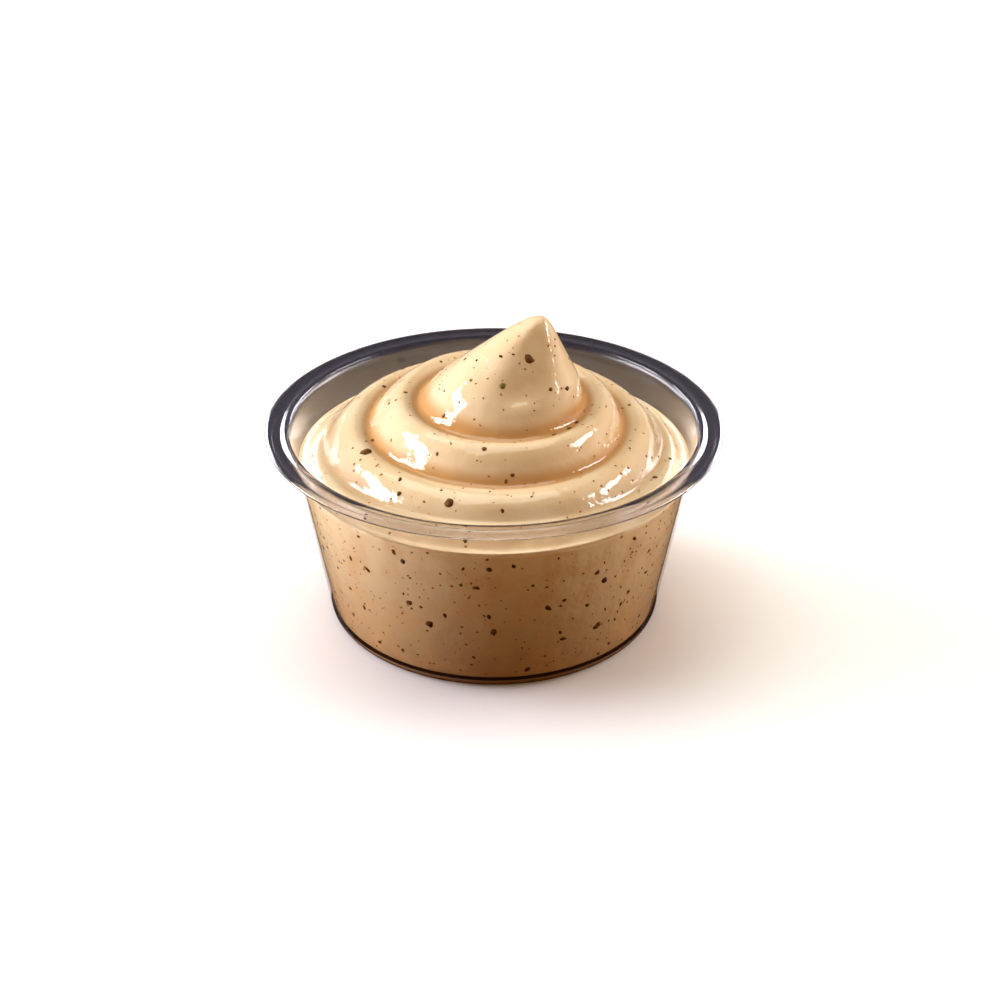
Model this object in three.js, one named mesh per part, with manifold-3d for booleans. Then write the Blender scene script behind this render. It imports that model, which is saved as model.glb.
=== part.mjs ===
// A clear plastic portion cup filled with garlic mayonnaise, piped in a swirl that ends in a leaning peak.
// Units are millimetres, +Z is up, and the origin is the middle of the cup's foot.
import * as THREE from "three";
import { mergeVertices } from "three/addons/utils/BufferGeometryUtils.js";
import Module from "manifold-3d";

const wasm = await Module();
wasm.setup();

// ---- The cup's sizes ----
const RIM_RADIUS = 33;
const RIM_TOP = 29.6;
const FLANGE_THICKNESS = 0.55;
const FLANGE_CHANNEL_DEPTH = 0.3;
const BEAD_SHOULDER = 0.6;
const INNER_BEAD_RADIUS = 30.1;
const OUTER_BEAD_RADIUS = 32.3;
const LIP_ROUND = 0.14;
const WALL_TOP_RADIUS = 29.5;
const WALL_TOP = 28.2;
const STEP_WIDTH = 0.12;
const STEP_HEIGHT = 0.5;
const FOOT_RADIUS = 24.5;
const FOOT_CORNER = 1.2;
const FOOT_WIDTH = 1.6;
const FLOOR_LIFT = 0.9;
const WALL = 0.45;
const FIT_GAP = 0.3;

// ---- The swirl's sizes ----
const FILL_LEVEL = 24.4;
const EDGE_BAND = 3.4;
const EDGE_LIP = 0.2;
const SWIRL_PITCH = 6.2;
const SWIRL_OUTER_RADIUS = 30.95;
const STEADY_WINDING = 0.06;
const WINDING_STARTS = 0.55;
const GROOVE_BASE = 23.9;
const GROOVE_STEP = 1.7;
const GROOVE_GROWTH = 0.4;
const GROOVE_ROUNDING = 0.95;
const CREST_AT = 0.66;
const CREST_OVERSHOOT = 0.2;
const FACE_WIDTH = 0.42;
const ROLL_FULLNESS = 0.85;
const BACK_SWELL = 1.2;
const BACK_SWELL_ANGLE = THREE.MathUtils.degToRad(112);
const BACK_SWELL_FOCUS = 4;
const BACK_SWELL_FROM = [10, 15];
const BACK_SWELL_TO = [21, 27];
const FRONT_SWELL = 0.8;
const FRONT_SWELL_ANGLE = THREE.MathUtils.degToRad(-88);
const FRONT_SWELL_FOCUS = 3;
const FRONT_SWELL_FROM = [20.5, 24];

// Slow changes in the swirl around the cup, each as [strength, times round, phase].
const RADIUS_WAVERS = [
  [-0.014, 1, 0],
  [0.012, 2, 1.1],
  [0.007, 3, 2.4],
];
const HEIGHT_WAVERS = [
  [0.16, 1, 0.7],
  [0.12, 2, -0.9],
];

// ---- The peak's sizes ----
const PEAK_TOP = 46;
const PEAK_LEAN = 6.4;
const PEAK_LEAN_POWER = 1.74;
const PEAK_SLOPE = 1.15;
const PEAK_TIP_RADIUS = 1.8;
const PEAK_FIRST_TURN = 3;
const FOLD_ANGLE = THREE.MathUtils.degToRad(-84);
const FOLD_DEPTH = 0.16;
const FOLD_FOCUS = 9;
const FOLD_FROM = [0.8, 3];
const FOLD_TO = [7, 11];

// ---- The herb flecks' sizes ----
const FLECK_COUNT = 44;
const FLECK_LENGTH = 0.95;
const FLECK_LENGTH_SPREAD = 0.3;
const FLECK_NARROWEST = 0.5;
const FLECK_WIDEST = 0.75;
const FLECK_THICKNESS = 0.36;
const FLECK_WALL_CLEARANCE = 1.6;
const FLECK_SEED = 20418;

// ---- How finely the surfaces are divided ----
const CUP_SEGMENTS = 72;
const SWIRL_SEGMENTS = 76;
const SWIRL_ROWS = 42;
const SLOPE_SAMPLES = 260;
const ROUNDING_SAMPLES = 7;
const FOOT_STEPS = 5;
const FLOOR_CORNER_STEPS = 4;

const PLASTIC = new THREE.MeshStandardMaterial({
  color: 0xb9b6c0,
  roughness: 0.06,
  metalness: 0,
  transparent: true,
  opacity: 0.35,
});
const MAYONNAISE = new THREE.MeshStandardMaterial({
  color: 0xe3bd8a,
  roughness: 0.22,
  metalness: 0,
});

// ---- Small helpers ----
const lerp = (a, b, t) => a + (b - a) * t;
const clamp01 = (t) => Math.min(1, Math.max(0, t));
const point = (radius, height) => new THREE.Vector2(radius, height);

// An even rise from 0 to 1 between two limits.
function smoothstep(from, to, x) {
  const t = clamp01((x - from) / (to - from));
  return t * t * (3 - 2 * t);
}

// Full strength between a rise from nothing and a fall back to nothing.
const between = (rise, fall, x) =>
  smoothstep(rise[0], rise[1], x) * (1 - smoothstep(fall[0], fall[1], x));

// Strength of something that is centred on one direction and fades away around it.
const towards = (angle, centre, focus) =>
  Math.exp((Math.cos(angle - centre) - 1) * focus);

// The sum of slow waves around the cup.
const waver = (waves, angle) =>
  waves.reduce(
    (sum, [strength, times, phase]) =>
      sum + strength * Math.sin(times * angle + phase),
    0,
  );

// An arc in the profile plane, from one angle to another, in degrees.
function arc(centre, radius, from, to, steps) {
  return Array.from({ length: steps + 1 }, (_, i) => {
    const angle = THREE.MathUtils.degToRad(lerp(from, to, i / steps));
    return point(
      centre.x + radius * Math.cos(angle),
      centre.y + radius * Math.sin(angle),
    );
  });
}

// ---- Cup ----
const wallLean = Math.atan2(WALL_TOP_RADIUS - FOOT_RADIUS, WALL_TOP);
const wallLeanDegrees = THREE.MathUtils.radToDeg(wallLean);
const floorTop = FLOOR_LIFT + WALL;

// Radius of the cup's outer face at a height, measured on the straight wall.
const wallRadius = (height) =>
  lerp(FOOT_RADIUS, WALL_TOP_RADIUS, height / WALL_TOP);

// Radius of the cup's inner face at a height.
const innerRadius = (height) => wallRadius(height) - WALL / Math.cos(wallLean);

// The rounded corner between the foot and the outside of the wall.
function footCorner() {
  const tangent = FOOT_CORNER * Math.tan(Math.PI / 4 - wallLean / 2);
  const centre = point(FOOT_RADIUS - tangent, FOOT_CORNER);
  return arc(centre, FOOT_CORNER, -90, -wallLeanDegrees, FOOT_STEPS);
}

// The rounded corner between the floor and the inside of the wall, a gap away from both.
function floorCorner(gap, steps) {
  const radius = FOOT_CORNER - WALL;
  const height = floorTop + gap + radius;
  const centre = point(innerRadius(height) - gap - radius, height);
  return arc(centre, radius, -90, -wallLeanDegrees, steps);
}

// The flange's section, from the underside out to the lip and back over its two beads.
function flange() {
  const underside = RIM_TOP - FLANGE_THICKNESS;
  const channel = RIM_TOP - FLANGE_CHANNEL_DEPTH;
  return [
    point(WALL_TOP_RADIUS + BEAD_SHOULDER / 2, underside - LIP_ROUND),
    point(OUTER_BEAD_RADIUS, underside),
    point(RIM_RADIUS - LIP_ROUND, underside),
    point(RIM_RADIUS, underside + FLANGE_THICKNESS / 2),
    point(RIM_RADIUS - LIP_ROUND, RIM_TOP - LIP_ROUND),
    point(OUTER_BEAD_RADIUS, RIM_TOP),
    point(OUTER_BEAD_RADIUS - BEAD_SHOULDER, channel),
    point(INNER_BEAD_RADIUS + BEAD_SHOULDER, channel),
    point(INNER_BEAD_RADIUS, RIM_TOP),
    point(INNER_BEAD_RADIUS - BEAD_SHOULDER, RIM_TOP - LIP_ROUND),
  ];
}

// Half the cup's section: the raised underside, foot, wall, flange, stacking step and floor.
function cupOutline() {
  const foot = footCorner();
  const footInside = foot[0].x - FOOT_WIDTH;
  return [
    point(0, FLOOR_LIFT),
    point(footInside - FLOOR_LIFT, FLOOR_LIFT),
    point(footInside, 0),
    ...foot,
    point(WALL_TOP_RADIUS, WALL_TOP),
    ...flange(),
    point(innerRadius(WALL_TOP) + STEP_WIDTH, WALL_TOP + STEP_HEIGHT),
    point(innerRadius(WALL_TOP), WALL_TOP),
    ...floorCorner(0, FLOOR_CORNER_STEPS).reverse(),
    point(0, floorTop),
  ];
}

const cupGeometry = () =>
  new THREE.LatheGeometry(cupOutline(), CUP_SEGMENTS).rotateX(Math.PI / 2);

// ---- Swirl ----
// How far the swirl has wound in: 0 on the left, round the front to the right, and 1 back at the left.
// Most of the winding happens at the back, so from the front the turns look like rings.
function windIn(angle) {
  const turn = (angle - Math.PI) / (2 * Math.PI);
  const share = turn - Math.floor(turn);
  return lerp(smoothstep(WINDING_STARTS, 1, share), share, STEADY_WINDING);
}

// Height of the groove between two turns, from its number counted inwards from the wall.
const grooveHeight = (turn) =>
  GROOVE_BASE + GROOVE_STEP * turn + GROOVE_GROWTH * turn * turn;

// How much the swirl swells at a place, with fuller parts at the back left and along the front.
function swell(radius, angle) {
  const back =
    BACK_SWELL *
    towards(angle, BACK_SWELL_ANGLE, BACK_SWELL_FOCUS) *
    between(BACK_SWELL_FROM, BACK_SWELL_TO, radius);
  const front =
    FRONT_SWELL *
    towards(angle, FRONT_SWELL_ANGLE, FRONT_SWELL_FOCUS) *
    smoothstep(FRONT_SWELL_FROM[0], FRONT_SWELL_FROM[1], radius);
  return waver(HEIGHT_WAVERS, angle) + back + front;
}

// Height of the peak's smooth cone, with a soft fold down its front.
function peakHeight(radius, angle) {
  const fold =
    FOLD_DEPTH *
    towards(angle, FOLD_ANGLE, FOLD_FOCUS) *
    between(FOLD_FROM, FOLD_TO, radius);
  const reach = Math.hypot(radius * (1 + fold), PEAK_TIP_RADIUS);
  return PEAK_TOP - PEAK_SLOPE * (reach - PEAK_TIP_RADIUS);
}

// A roll's rounded face, from 0 at its groove to 1 at the end of its width.
const roundedFace = (share) =>
  Math.pow(Math.sin((Math.PI / 2) * clamp01(share)), ROLL_FULLNESS);

// Share of a turn's rise at a share of its width: its crest is short of the next groove and above it.
const turnRise = (across) =>
  across < CREST_AT
    ? (1 + CREST_OVERSHOOT) * roundedFace(across / CREST_AT)
    : 1 + CREST_OVERSHOOT * (1 - smoothstep(CREST_AT, 1, across));

// The swirl's height while its grooves are still sharp.
function sharpHeight(radius, angle) {
  const wound = windIn(angle);
  const wavy = radius * (1 + waver(RADIUS_WAVERS, angle));
  const along = (SWIRL_OUTER_RADIUS - wavy) / SWIRL_PITCH - wound;
  const turn = Math.min(PEAK_FIRST_TURN, Math.floor(along));
  const across = along - turn;
  const outerGroove = grooveHeight(turn + wound) + swell(radius, angle);
  const innerGroove = grooveHeight(turn + 1 + wound) + swell(radius, angle);
  const peak = peakHeight(radius, angle);
  const ring = lerp(outerGroove, innerGroove, turnRise(Math.min(1, across)));
  const face = lerp(outerGroove, peak, roundedFace(across / FACE_WIDTH));
  const fade = smoothstep(0, 1, wound);
  if (turn === PEAK_FIRST_TURN) return lerp(face, peak, fade);
  if (turn === PEAK_FIRST_TURN - 1) return lerp(ring, face, fade);
  return ring;
}

// The swirl's height with its grooves rounded, brought down to the fill level at the wall.
function swirlHeight(radius, angle) {
  let sum = 0;
  let weights = 0;
  for (let i = -ROUNDING_SAMPLES; i <= ROUNDING_SAMPLES; i += 1) {
    const weight = 1 - Math.abs(i) / (ROUNDING_SAMPLES + 1);
    const near = radius + (GROOVE_ROUNDING * i) / ROUNDING_SAMPLES;
    sum += weight * sharpHeight(Math.abs(near), angle);
    weights += weight;
  }
  const wall = innerRadius(FILL_LEVEL);
  const drop = smoothstep(wall - EDGE_BAND, wall - EDGE_LIP, radius);
  return lerp(sum / weights, FILL_LEVEL, drop);
}

// How far the swirl leans towards +X at a height.
function leanAt(height) {
  const share = clamp01((height - FILL_LEVEL) / (PEAK_TOP - FILL_LEVEL));
  return PEAK_LEAN * Math.pow(share, PEAK_LEAN_POWER);
}

// A point on the swirl's surface.
function swirlPoint(radius, angle) {
  const height = swirlHeight(radius, angle);
  return new THREE.Vector3(
    radius * Math.cos(angle) + leanAt(height),
    radius * Math.sin(angle),
    height,
  );
}

// Radii on one line from the wall up to the peak, evenly spaced along the slope.
function evenRadii(edge, angle) {
  const radiusAt = (sample) => edge * (1 - sample / SLOPE_SAMPLES);
  const lengths = [0];
  let before = swirlHeight(edge, angle);
  for (let i = 1; i <= SLOPE_SAMPLES; i += 1) {
    const height = swirlHeight(radiusAt(i), angle);
    lengths.push(
      lengths[i - 1] + Math.hypot(edge / SLOPE_SAMPLES, height - before),
    );
    before = height;
  }
  const radii = [];
  let at = 1;
  for (let row = 0; row < SWIRL_ROWS; row += 1) {
    const wanted = (lengths[SLOPE_SAMPLES] * row) / SWIRL_ROWS;
    while (lengths[at] < wanted) at += 1;
    const span = lengths[at] - lengths[at - 1];
    radii.push(radiusAt(at - 1 + (wanted - lengths[at - 1]) / span));
  }
  return radii;
}

// ---- Mayonnaise ----
// Its section against the cup, from the floor to halfway up the wall.
function wettedOutline() {
  const corner = floorCorner(FIT_GAP, FLOOR_CORNER_STEPS - 1);
  const halfway = (corner[0].y + FILL_LEVEL) / 2;
  return [...corner, point(innerRadius(halfway) - FIT_GAP, halfway)];
}

// Closes columns of points into a skin, with one shared point below and one above.
function closedSkin(bottom, columns, top) {
  const rows = columns[0].length;
  const positions = [bottom, ...columns.flat(), top].flatMap((p) => p.toArray());
  const at = (column, row) => 1 + (column % columns.length) * rows + row;
  const last = positions.length / 3 - 1;
  const faces = [];
  for (let column = 0; column < columns.length; column += 1) {
    faces.push(0, at(column + 1, 0), at(column, 0));
    for (let row = 0; row < rows - 1; row += 1) {
      const here = at(column, row);
      const across = at(column + 1, row + 1);
      faces.push(here, at(column + 1, row), across);
      faces.push(here, across, at(column, row + 1));
    }
    faces.push(at(column, rows - 1), at(column + 1, rows - 1), last);
  }
  return new THREE.BufferGeometry()
    .setAttribute("position", new THREE.Float32BufferAttribute(positions, 3))
    .setIndex(faces);
}

// The whole filling without its flecks.
function fillingGeometry() {
  const wetted = wettedOutline();
  const edge = innerRadius(FILL_LEVEL) - FIT_GAP;
  const columns = Array.from({ length: SWIRL_SEGMENTS }, (_, column) => {
    const angle = (2 * Math.PI * column) / SWIRL_SEGMENTS;
    const side = wetted.map(
      (p) =>
        new THREE.Vector3(p.x * Math.cos(angle), p.x * Math.sin(angle), p.y),
    );
    const swirl = evenRadii(edge, angle).map((r) => swirlPoint(r, angle));
    return [...side, ...swirl];
  });
  const bottom = new THREE.Vector3(0, 0, wetted[0].y);
  return closedSkin(bottom, columns, swirlPoint(0, 0));
}

// Seeded numbers from 0 to 1.
function seeded(seed) {
  let state = seed;
  return () => {
    state = (state * 16807) % 2147483647;
    return state / 2147483647;
  };
}

// Which way the swirl's surface faces at a place.
function swirlNormal(radius, angle) {
  const step = FLECK_THICKNESS;
  const here = swirlPoint(radius, angle);
  const outwards = swirlPoint(radius + step, angle).sub(here);
  const around = swirlPoint(radius, angle + step / radius).sub(here);
  return outwards.cross(around).normalize();
}

// One herb fleck: an uneven flake that lies half sunk in the swirl.
function fleckGeometry(radius, angle, random) {
  const spread = lerp(1 - FLECK_LENGTH_SPREAD, 1 + FLECK_LENGTH_SPREAD, random());
  const length = FLECK_LENGTH * spread;
  const width = length * lerp(FLECK_NARROWEST, FLECK_WIDEST, random());
  const place = swirlPoint(radius, angle);
  const tilt = new THREE.Quaternion().setFromUnitVectors(
    new THREE.Vector3(0, 0, 1),
    swirlNormal(radius, angle),
  );
  return new THREE.IcosahedronGeometry(1 / 2, 0)
    .scale(length, width, FLECK_THICKNESS)
    .rotateZ(2 * Math.PI * random())
    .applyQuaternion(tilt)
    .translate(place.x, place.y, place.z);
}

// Flecks over the whole swirl, spread by the golden angle and nudged by seeded draws.
function fleckGeometries() {
  const random = seeded(FLECK_SEED);
  const goldenAngle = Math.PI * (3 - Math.sqrt(5));
  const reach = innerRadius(FILL_LEVEL) - FLECK_WALL_CLEARANCE;
  return Array.from({ length: FLECK_COUNT }, (_, i) => {
    const share = (i + 1 + random()) / (FLECK_COUNT + 1);
    const angle = i * goldenAngle + random();
    return fleckGeometry(reach * Math.sqrt(share), angle, random);
  });
}

// ---- Joining ----
function solidOf(geometry) {
  const bare = geometry.deleteAttribute("normal").deleteAttribute("uv");
  const merged = mergeVertices(bare);
  return new wasm.Manifold(
    new wasm.Mesh({
      numProp: 3,
      vertProperties: merged.attributes.position.array,
      triVerts: new Uint32Array(merged.index.array),
    }),
  );
}

function geometryOf(solid) {
  const mesh = solid.getMesh();
  const geometry = new THREE.BufferGeometry();
  const position = new THREE.Float32BufferAttribute(mesh.vertProperties, 3);
  geometry.setAttribute("position", position);
  geometry.setIndex(new THREE.BufferAttribute(mesh.triVerts, 1));
  geometry.computeVertexNormals();
  return geometry;
}

// The filling with its flecks fused on.
function mayonnaiseGeometry() {
  const filling = solidOf(fillingGeometry());
  const fused = fleckGeometries().reduce(
    (whole, fleck) => whole.add(solidOf(fleck)),
    filling,
  );
  return geometryOf(fused);
}

const cup = new THREE.Mesh(cupGeometry(), PLASTIC);
cup.name = "portion_cup";
const mayonnaise = new THREE.Mesh(mayonnaiseGeometry(), MAYONNAISE);
mayonnaise.name = "garlic_mayonnaise";

const filledCup = new THREE.Group();
filledCup.add(cup, mayonnaise);

export default filledCup;
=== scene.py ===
"""A clear plastic portion cup filled with garlic mayonnaise, piped in a swirl that ends in a leaning peak."""

import logging
import math
from dataclasses import dataclass, field
from enum import Enum

import bpy
import numpy as np
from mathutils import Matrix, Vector


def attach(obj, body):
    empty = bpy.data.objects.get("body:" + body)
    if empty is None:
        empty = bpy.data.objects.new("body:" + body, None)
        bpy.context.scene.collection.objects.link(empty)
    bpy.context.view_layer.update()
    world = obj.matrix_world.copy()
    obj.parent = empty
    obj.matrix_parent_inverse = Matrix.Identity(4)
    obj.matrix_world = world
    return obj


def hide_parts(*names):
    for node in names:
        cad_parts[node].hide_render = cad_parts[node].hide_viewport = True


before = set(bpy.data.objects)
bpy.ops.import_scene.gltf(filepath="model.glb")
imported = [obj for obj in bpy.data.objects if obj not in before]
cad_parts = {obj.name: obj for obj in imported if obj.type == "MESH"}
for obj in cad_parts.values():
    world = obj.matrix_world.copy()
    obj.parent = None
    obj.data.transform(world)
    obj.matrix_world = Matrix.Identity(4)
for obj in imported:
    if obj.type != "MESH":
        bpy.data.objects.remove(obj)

log = logging.getLogger("portion_cup")

MM = 0.001
BODY = "root"

# Strength, times round and phase of each wave around the cup.
Wavers = tuple[tuple[float, float, float], ...]

# Sizes of the lights in metres, and their colours.
FRONT_WINDOW = (0.26, 0.09)
BACK_WINDOW = (0.3, 0.2)
CEILING = (0.6, 0.6)
COOL_PINK = (1.0, 0.97, 1.0)
COOL_BLUE = (0.97, 0.97, 1.05)
WARM_WHITE = (1.0, 1.0, 0.9)

# The largest flecks: radius or height in millimetres, degrees around the cup (-90 is the front)
# and length in millimetres.
DARK_ON_SWIRL = (
    (23, -106, 1.5),
    (23.7, -88, 0.8),
    (15.4, -100, 0.8),
    (23, -125, 0.9),
    (20.5, -154, 1.9),
    (18.4, -164, 0.9),
    (4.6, -83, 1.8),
    (8.4, -53, 0.8),
    (9.2, -34, 1.0),
    (12.6, -43, 1.1),
    (17.8, -84, 0.6),
    (20.3, -24, 0.6),
)
DARK_ON_WALL = (
    (17.3, -130, 1.4),
    (18.4, -95, 1.1),
    (13.8, -116, 1.1),
    (10.6, -110, 1.4),
    (10.3, -90, 1.6),
    (14, -74, 1.5),
    (9, -69, 0.9),
    (7.7, -68, 0.9),
    (8, -56, 1.0),
    (18.4, -59, 1.1),
    (16.5, -56, 1.2),
    (12, -44, 0.9),
    (2.9, -79, 1.1),
    (3.7, -131, 1.0),
)
GREEN_ON_SWIRL = (
    (7.4, -105, 1.1),
    (8.1, -141, 0.6),
    (14.3, 172, 0.8),
)


def linear(red: int, green: int, blue: int) -> tuple[float, float, float, float]:
    """Turn a display colour into the shader's linear colour.

    Args:
        red: Red from 0 to 255.
        green: Green from 0 to 255.
        blue: Blue from 0 to 255.

    Returns:
        The linear colour with full alpha.
    """
    shares = [c / 255 for c in (red, green, blue)]
    r, g, b = (
        s / 12.92 if s <= 0.04045 else ((s + 0.055) / 1.055) ** 2.4 for s in shares
    )
    return (r, g, b, 1.0)


def grey(level: float) -> tuple[float, float, float, float]:
    """A linear grey with full alpha."""
    return (level, level, level, 1.0)


def smoothstep(start: float, end: float, x: np.ndarray) -> np.ndarray:
    """Rise smoothly from 0 at start to 1 at end."""
    t = np.clip((x - start) / (end - start), 0, 1)
    return t * t * (3 - 2 * t)


def blend(a: np.ndarray, b: np.ndarray, share: np.ndarray) -> np.ndarray:
    """Mix a into b by a share."""
    return a + (b - a) * share


def near(angle: np.ndarray, middle: float, focus: float) -> np.ndarray:
    """How near a direction lies to a middle one, from 0 to 1; a larger focus is narrower."""
    return np.exp((np.cos(angle - middle) - 1) * focus)


def waves(parts: Wavers, angle: np.ndarray) -> np.ndarray:
    """Add slow waves around the cup.

    Args:
        parts: Strength, times round and phase of each wave.
        angle: Where to read them.

    Returns:
        The sum of the waves.
    """
    return sum(a * np.sin(n * angle + p) for a, n, p in parts)


# ---------------------------------------------------------------- mesh and material makers


def make_piece(
    name: str, vertices: np.ndarray, faces: list[tuple[int, ...]]
) -> bpy.types.Object:
    """Make one smooth mesh object from points in millimetres.

    Args:
        name: The piece's name.
        vertices: Points as rows of x, y and z.
        faces: Corner numbers of each face.

    Returns:
        The new object, linked to the scene.
    """
    mesh = bpy.data.meshes.new(name)
    mesh.from_pydata((np.asarray(vertices) * MM).tolist(), [], faces)
    mesh.validate()
    mesh.polygons.foreach_set("use_smooth", [True] * len(mesh.polygons))
    mesh.update()
    piece = bpy.data.objects.new(name, mesh)
    bpy.context.scene.collection.objects.link(piece)
    return piece


def paint(piece: bpy.types.Object, name: str, values: np.ndarray) -> None:
    """Keep one number for each point of a piece, for its material to read."""
    layer = piece.data.attributes.new(name, "FLOAT", "POINT")
    layer.data.foreach_set("value", np.ravel(values).astype(np.float32))


def all_round(steps: int) -> np.ndarray:
    """Evenly spaced angles once around the axis."""
    return np.linspace(0, 2 * math.pi, steps, endpoint=False)


def turned(section: np.ndarray, angle: np.ndarray) -> np.ndarray:
    """Turn a section around the axis.

    Args:
        section: Rows of radius and height.
        angle: The directions it is turned to.

    Returns:
        Points by row, direction and axis.
    """
    radius = section[:, :1]
    height = np.repeat(section[:, 1:], len(angle), axis=1)
    return np.stack([radius * np.cos(angle), radius * np.sin(angle), height], axis=-1)


def closed_rings(rings: np.ndarray) -> list[tuple[int, ...]]:
    """Join rows of points that run around the cup, closed by two more points, below and above.

    Args:
        rings: Points by row, column and axis; only its shape is read.

    Returns:
        The faces, all facing out where the rows run upwards.
    """
    rows, columns = rings.shape[:2]
    faces: list[tuple[int, ...]] = []
    for row in range(rows - 1):
        here, above = row * columns, (row + 1) * columns
        for column in range(columns):
            after = (column + 1) % columns
            faces.append(
                (here + column, here + after, above + after, above + column)
            )
    bottom, top, last = rows * columns, rows * columns + 1, (rows - 1) * columns
    for column in range(columns):
        after = (column + 1) % columns
        faces.append((bottom, after, column))
        faces.append((top, last + column, last + after))
    return faces


@dataclass(frozen=True)
class Grain:
    """A noise pattern: how many times it repeats in a metre, and how fine it goes."""

    scale: float
    detail: float


@dataclass(frozen=True)
class Specks:
    """A pattern of round specks: its cells in a metre, and as shares a speck's size, number and depth."""

    scale: float
    size: float
    share: float
    depth: float
    solid_share: float = 0.4
    strongest_share: float = 0.3


class Nodes:
    """A node tree with short ways to add and link nodes."""

    def __init__(self, tree: bpy.types.NodeTree) -> None:
        """Keep the tree."""
        self.tree = tree

    def add(self, kind: str, **settings: object) -> bpy.types.Node:
        """Add a node and set its properties."""
        node = self.tree.nodes.new(kind)
        for key, value in settings.items():
            setattr(node, key, value)
        return node

    def link(self, source: bpy.types.NodeSocket, target: bpy.types.NodeSocket) -> None:
        """Link one socket to another."""
        self.tree.links.new(source, target)

    def math(
        self, operation: str, a: bpy.types.NodeSocket, b: bpy.types.NodeSocket | float
    ) -> bpy.types.NodeSocket:
        """Work out a value.

        Args:
            operation: What is done, by the math node's own name.
            a: The first value.
            b: The second value, as a socket or a number.

        Returns:
            The result.
        """
        node = self.add("ShaderNodeMath", operation=operation)
        self.link(a, node.inputs[0])
        if isinstance(b, bpy.types.NodeSocket):
            self.link(b, node.inputs[1])
        else:
            node.inputs[1].default_value = b
        return node.outputs["Value"]

    def laid(
        self,
        under: bpy.types.NodeSocket,
        over: tuple[float, float, float, float],
        share: bpy.types.NodeSocket,
        way: str = "MIX",
    ) -> bpy.types.NodeSocket:
        """Lay a linear colour over another by a share.

        Args:
            under: The colour below.
            over: The colour that is laid over it.
            share: How much of it.
            way: How the two go together, by the mix node's own name.

        Returns:
            The colour that results.
        """
        node = self.add("ShaderNodeMix", data_type="RGBA", blend_type=way)
        self.link(share, node.inputs["Factor"])
        self.link(under, node.inputs["A"])
        node.inputs["B"].default_value = over
        return node.outputs["Result"]


class Shader(Nodes):
    """A material's nodes around one Principled shader."""

    def __init__(self, name: str) -> None:
        """Start a material."""
        self.material = bpy.data.materials.new(name)
        self.material.use_nodes = True
        super().__init__(self.material.node_tree)
        self.surface = self.tree.nodes["Principled BSDF"]
        self.output = self.tree.nodes["Material Output"]
        self.place = self.add("ShaderNodeTexCoord").outputs["Object"]

    def set(self, **values: object) -> None:
        """Set the Principled shader's own sockets, with _ for each space in a name."""
        for key, value in values.items():
            self.surface.inputs[key.replace("_", " ")].default_value = value

    def noise(self, grain: Grain) -> bpy.types.NodeSocket:
        """Add a noise pattern."""
        node = self.add("ShaderNodeTexNoise")
        node.inputs["Scale"].default_value = grain.scale
        node.inputs["Detail"].default_value = grain.detail
        self.link(self.place, node.inputs["Vector"])
        return node.outputs["Fac"]

    def ramp(
        self, value: bpy.types.NodeSocket, stops: list[tuple[float, tuple]]
    ) -> bpy.types.NodeSocket:
        """Turn a value into a colour.

        Args:
            value: The value to read.
            stops: Positions from 0 to 1 with their colours.

        Returns:
            The colour.
        """
        node = self.add("ShaderNodeValToRGB")
        ramp = node.color_ramp
        ramp.elements[0].position, ramp.elements[0].color = stops[0]
        ramp.elements[1].position, ramp.elements[1].color = stops[-1]
        for position, colour in stops[1:-1]:
            ramp.elements.new(position).color = colour
        self.link(value, node.inputs["Fac"])
        return node.outputs["Color"]

    def span(
        self, value: bpy.types.NodeSocket, low: float, high: float
    ) -> bpy.types.NodeSocket:
        """Turn a value from 0 to 1 into one from low to high."""
        node = self.add("ShaderNodeMapRange")
        node.inputs["To Min"].default_value = low
        node.inputs["To Max"].default_value = high
        self.link(value, node.inputs["Value"])
        return node.outputs["Result"]

    def height(self, whole: float) -> bpy.types.NodeSocket:
        """Height above the foot, as a share of a whole height in metres."""
        split = self.add("ShaderNodeSeparateXYZ")
        self.link(self.place, split.inputs["Vector"])
        node = self.add("ShaderNodeMapRange")
        node.inputs["From Max"].default_value = whole
        self.link(split.outputs["Z"], node.inputs["Value"])
        return node.outputs["Result"]

    def painted(self, name: str) -> bpy.types.NodeSocket:
        """Read the number that is kept for each point under a name."""
        return self.add("ShaderNodeAttribute", attribute_name=name).outputs["Fac"]

    def mixed(
        self, under: bpy.types.NodeSocket, over: tuple[int, int, int], share: bpy.types.NodeSocket
    ) -> bpy.types.NodeSocket:
        """Lay a display colour over a pattern by a share."""
        return self.laid(under, linear(*over), share)

    def specks(self, specks: Specks) -> bpy.types.NodeSocket:
        """Scatter round specks with soft edges, and return their strength."""
        cells = self.add("ShaderNodeTexVoronoi")
        cells.inputs["Scale"].default_value = specks.scale
        self.link(self.place, cells.inputs["Vector"])
        spot = self.ramp(
            cells.outputs["Distance"],
            [(specks.size * specks.solid_share, grey(1)), (specks.size, grey(0))],
        )
        held = self.ramp(
            cells.outputs["Color"],
            [
                (1 - specks.share, grey(0)),
                (1 - specks.share * specks.strongest_share, grey(specks.depth)),
            ],
        )
        return self.math("MULTIPLY", spot, held)

    def bumps(self, *layers: tuple[bpy.types.NodeSocket, float]) -> None:
        """Stack height patterns, each with its depth in metres, on the surface."""
        before = None
        for height, depth in layers:
            node = self.add("ShaderNodeBump")
            node.inputs["Strength"].default_value = 1.0
            node.inputs["Distance"].default_value = depth
            self.link(height, node.inputs["Height"])
            if before is not None:
                self.link(before.outputs["Normal"], node.inputs["Normal"])
            before = node
        self.link(before.outputs["Normal"], self.surface.inputs["Normal"])


# ---------------------------------------------------------------- finishes


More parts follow.
